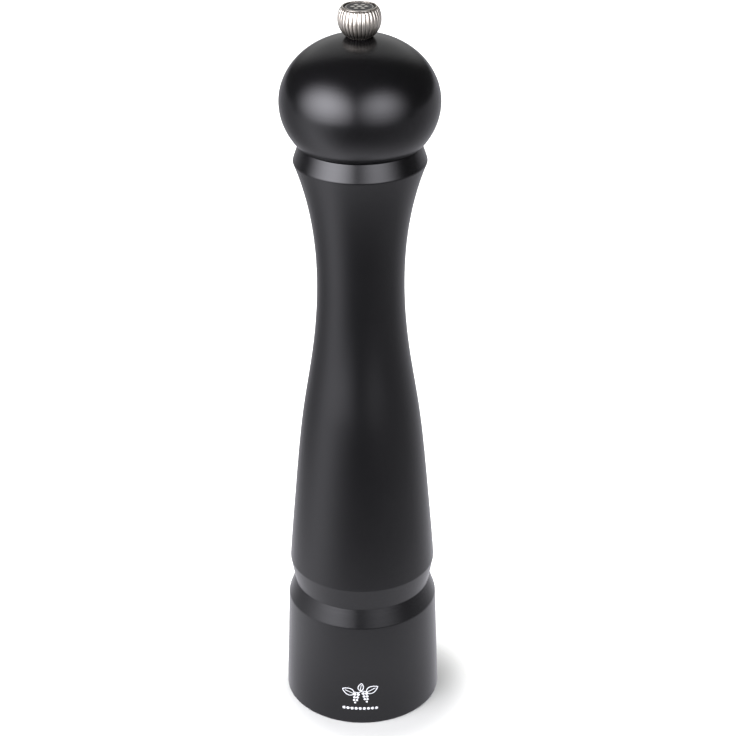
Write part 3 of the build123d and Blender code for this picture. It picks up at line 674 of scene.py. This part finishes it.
studio = {
    "camera": (2.7, -685.0, 505.0), "pitch": 27.31, "roll": -0.19, "lens": 94.5,
    "floorHalf": 5000, "floorPaint": "#cecfcb", "light": "#f8f7ff",
    # painted contact shadow: the floor's glow is weak near the foot;
    # round which point, from and to how far, least and most
    "shade": (5, -9, 0), "shadeReach": (28, 64), "floorGlow": (0.05, 1.1),
    # each soft light: degrees round from the front, distance, height, its fade across and up, radiance
    "leftLight": (-49, 950, 615, (650, 530), 10.3), "rightLight": (31, 950, 670, (510, 480), 5.8),
    "overhead": ((0, 300, 1500), 2200, 0.9),
    "tableNear": 1.28, "tableFar": 0.14, "tableFade": 175, "tableMiddle": (-14, -12, 0),
    "tableShade": (34, 90, 0.72),   # the foot's shade on that table: from, to, what is left
    # brighter sectors of the far table: degrees round from the front, sharpness, gain
    "tableSides": ((-68, 7, 1.3), (90, 2, 0.28), (180, 1, 0.44)),
    # the lit wall behind: which way it lies, the cosines between which it fades in, and the dark room
    "wallAt": (0, 0.83, 0.56), "wallEdges": (0.74, 0.92), "wallGlow": 0.72, "dark": 0.055,
    "backdropGlow": 1.05, "domeGrid": (17, 32), "sensor": 36,
}


def stagePiece(name, mesh, material, camera=True, glossy=False, diffuse=False):
    mesh.materials.append(material)
    piece = bpy.data.objects.new(name, mesh)
    scene.collection.objects.link(piece)
    piece.visible_camera, piece.visible_glossy, piece.visible_diffuse = camera, glossy, diffuse
    piece.visible_shadow = diffuse
    return piece


def sheetMesh(name, halfX, halfY, z=0):
    mesh = bpy.data.meshes.new(name)
    corners = [(-halfX, -halfY, z), (halfX, -halfY, z), (halfX, halfY, z), (-halfX, halfY, z)]
    mesh.from_pydata([tuple(c * mm for c in corner) for corner in corners], [], [(0, 1, 2, 3)])
    return mesh


def bell(tree, vector, spread):  # exp(-|vector / spread|^2), with one spread in mm for each axis
    shares = tuple(1 / (mm * s) for s in spread)
    scaled = addNode(tree, "VectorMath", {0: vector, 1: shares}, operation="MULTIPLY").outputs[0]
    square = addNode(tree, "VectorMath", {0: scaled, 1: scaled}, operation="DOT_PRODUCT")
    minus = addNode(tree, "Math", {0: square.outputs["Value"], 1: -1.0}, operation="MULTIPLY")
    return addNode(tree, "Math", {0: minus.outputs[0]}, operation="EXPONENT").outputs[0]


def softLight(name, turn, distance, height, spread, radiance):  # a diffuser lit brightest in its middle
    material, tree = newMaterial(name)
    position = addNode(tree, "TexCoord").outputs["Object"]
    fade = bell(tree, position, (*spread, distance))
    strength = addNode(tree, "Math", {0: fade, 1: radiance}, operation="MULTIPLY").outputs[0]
    glow = addNode(tree, "Emission", {"Color": linearColour(studio["light"]), "Strength": strength})
    addNode(tree, "OutputMaterial", {"Surface": glow.outputs[0]})
    reach = 2.1  # the glow has faded to a hundredth at this many spreads
    mesh = sheetMesh(name, reach * spread[0], reach * spread[1])
    diffuser = stagePiece(name, mesh, material, camera=False, glossy=True, diffuse=True)
    turn = math.radians(turn)
    diffuser.location = Vector((distance * math.sin(turn), -distance * math.cos(turn), height)) * mm
    diffuser.rotation_euler = (math.radians(90), 0, turn)


def whiteSweep():  # matt white floor glowing evenly bright, with a painted contact shadow where its glow is dimmed round the foot; clear from underneath
    material, tree = newMaterial("whiteSweep")
    diffuse = addNode(tree, "BsdfDiffuse", {"Color": linearColour(studio["floorPaint"])})
    position = addNode(tree, "TexCoord").outputs["Object"]
    # painted contact shadow: the glow fades down towards the point "shade" near the foot
    shade = tuple(c * mm for c in studio["shade"])
    away = addNode(tree, "VectorMath", {0: position, 1: shade}, operation="DISTANCE").outputs["Value"]
    start, stop = studio["shadeReach"]
    least, most = studio["floorGlow"]
    strength = addNode(tree, "MapRange", {"Value": away, "From Min": start * mm,
                                          "From Max": stop * mm, "To Min": least, "To Max": most},
                       interpolation_type="SMOOTHSTEP")
    glow = addNode(tree, "Emission", {"Strength": strength.outputs[0]})
    lit = addNode(tree, "AddShader", {0: diffuse.outputs[0], 1: glow.outputs[0]})
    under = addNode(tree, "NewGeometry").outputs["Backfacing"]
    clear = addNode(tree, "BsdfTransparent").outputs[0]
    sides = addNode(tree, "MixShader", {0: under, 1: lit.outputs[0], 2: clear})
    addNode(tree, "OutputMaterial", {"Surface": sides.outputs[0]})
    return material


def tableCard():  # what the lacquer mirrors below the horizon: white near the foot, grey further out
    material, tree = newMaterial("tableCard")
    position = addNode(tree, "TexCoord").outputs["Object"]
    middle = tuple(c * mm for c in studio["tableMiddle"])
    fromMiddle = addNode(tree, "VectorMath", {0: position, 1: middle}, operation="SUBTRACT").outputs[0]
    near = bell(tree, fromMiddle, (studio["tableFade"],) * 3)
    strength = addNode(tree, "MapRange", {"Value": near, "To Min": studio["tableFar"],
                                          "To Max": studio["tableNear"]}).outputs[0]
    away = addNode(tree, "VectorMath", {0: position}, operation="LENGTH").outputs["Value"]
    start, stop, least = studio["tableShade"]
    unshaded = addNode(tree, "MapRange", {"Value": away, "From Min": start * mm,
                                          "From Max": stop * mm, "To Min": least},
                       interpolation_type="SMOOTHSTEP").outputs[0]
    strength = addNode(tree, "Math", {0: strength, 1: unshaded}, operation="MULTIPLY").outputs[0]
    heading = addNode(tree, "VectorMath", {0: position}, operation="NORMALIZE").outputs["Vector"]
    far = addNode(tree, "Math", {0: 1.0, 1: near}, operation="SUBTRACT").outputs[0]
    for side, power, gain in studio["tableSides"]:
        towards = (math.sin(math.radians(side)), -math.cos(math.radians(side)), 0)
        facing = addNode(tree, "VectorMath", {0: heading, 1: towards}, operation="DOT_PRODUCT")
        forward = addNode(tree, "Math", {0: facing.outputs["Value"], 1: 0.0}, operation="MAXIMUM")
        lobe = addNode(tree, "Math", {0: forward.outputs[0], 1: float(power)},
                       operation="POWER").outputs[0]
        boost = addNode(tree, "Math", {0: lobe, 1: far}, operation="MULTIPLY").outputs[0]
        sector = addNode(tree, "Math", {0: boost, 1: gain, 2: strength}, operation="MULTIPLY_ADD")
        strength = sector.outputs[0]
    glow = addNode(tree, "Emission", {"Color": linearColour(studio["light"]), "Strength": strength})
    addNode(tree, "OutputMaterial", {"Surface": glow.outputs[0]})
    return material


def backdropDome():
    material, tree = newMaterial("backdropWhite")
    glow = addNode(tree, "Emission", {"Strength": studio["backdropGlow"]})
    addNode(tree, "OutputMaterial", {"Surface": glow.outputs[0]})
    return material


half = studio["floorHalf"]
stagePiece("studioFloor", sheetMesh("studioFloor", half, half), whiteSweep(), diffuse=True)
stagePiece("reflectedTable", sheetMesh("reflectedTable", half, half, -0.2), tableCard(),
           camera=False, glossy=True)
softLight("leftLight", *studio["leftLight"])
softLight("rightLight", *studio["rightLight"])
fill = bpy.data.lights.new("overheadFill", "AREA")
spot, size, radiance = studio["overhead"]
fill.size = size * mm
fill.energy = radiance * math.pi * fill.size ** 2  # watts from radiance and area
overhead = bpy.data.objects.new("overheadFill", fill)
scene.collection.objects.link(overhead)
overhead.location = Vector(spot) * mm
overhead.visible_camera = overhead.visible_glossy = False
rows, columns = studio["domeGrid"]
t = np.linspace(-np.pi / 2, np.pi / 2, rows)[:, None]
u = np.linspace(0, 2 * np.pi, columns, endpoint=False)
dome = np.stack([np.cos(t) * np.cos(u), np.cos(t) * np.sin(u), np.sin(t) + 0 * u], -1) * half
stagePiece("backdropDome", gridMesh("backdropDome", [dome], loopAlong=False), backdropDome())

world = bpy.data.worlds.new("studioWorld")
scene.world = world
world.use_nodes = True
tree = world.node_tree
tree.nodes.clear()
heading = addNode(tree, "TexCoord").outputs["Generated"]
facing = addNode(tree, "VectorMath", {0: heading, 1: studio["wallAt"]}, operation="DOT_PRODUCT")
edge, full = studio["wallEdges"]
wall = addNode(tree, "MapRange", {"Value": facing.outputs["Value"], "From Min": edge, "From Max": full,
                                  "To Min": studio["dark"], "To Max": studio["wallGlow"]},
               interpolation_type="SMOOTHSTEP")
backdrop = addNode(tree, "Background", {"Color": (1, 1, 1, 1), "Strength": wall.outputs[0]})
addNode(tree, "OutputWorld", {"Surface": backdrop.outputs[0]})

scene.view_settings.view_transform = "Standard"
lens = bpy.data.cameras.new("studioCamera")
lens.lens, lens.sensor_width = studio["lens"], studio["sensor"]
camera = bpy.data.objects.new("studioCamera", lens)
scene.collection.objects.link(camera)
camera.matrix_world = (Matrix.Translation(Vector(studio["camera"]) * mm)
                       @ Matrix.Rotation(math.radians(90 - studio["pitch"]), 4, "X")
                       @ Matrix.Rotation(math.radians(studio["roll"]), 4, "Z"))
scene.camera = camera
print("stage: studio")
